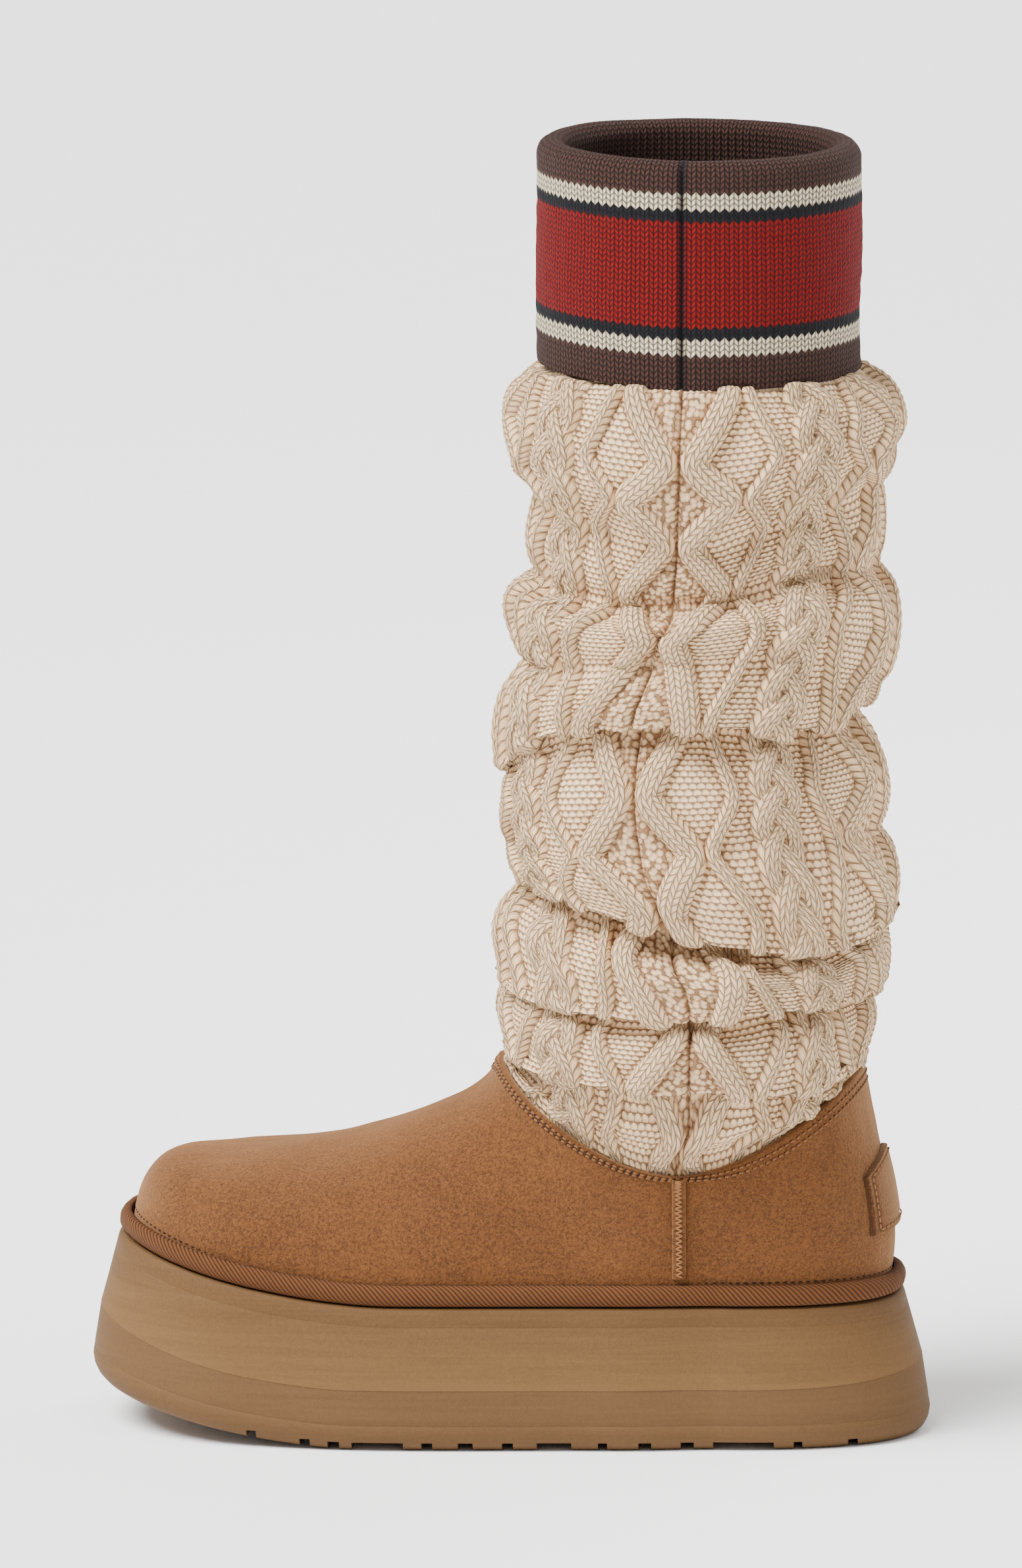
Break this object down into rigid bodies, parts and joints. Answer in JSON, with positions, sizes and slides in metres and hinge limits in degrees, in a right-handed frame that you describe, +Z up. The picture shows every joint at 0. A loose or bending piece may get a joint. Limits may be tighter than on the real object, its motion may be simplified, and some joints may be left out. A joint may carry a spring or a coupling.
{
  "type": "sweater boot",
  "caption": "Left pull-on boot with a suede foot, a thick platform sole, a slouching cable-knit shaft and a striped knit cuff.",
  "frame": {"origin": "on the ground, on the flat of the tread under the middle of the foot's length", "axes": "+Z up, -X towards the toe, -Y towards the outer (lateral) side of this left boot"},
  "size_m": [0.2821, 0.1324, 0.4335],
  "materials": {
    "tread": "matte moulded foam rubber",
    "foam": "matte foam with faint layers",
    "fleece": "woolly pile",
    "binding": "twill tape",
    "suede": "napped suede",
    "cream_knit": "chunky cable knit",
    "cuff_knit": "fine striped knit"
  },
  "bodies": {
    "root": {"outsole": "tread", "midsole": "foam", "insole": "fleece", "welt_binding": "binding", "suede_upper": "suede", "side_seam_lateral": "suede", "side_seam_medial": "suede", "heel_patch": "suede", "sweater_shaft": "cream_knit", "cuff": "cuff_knit"}
  },
  "joints": []
}
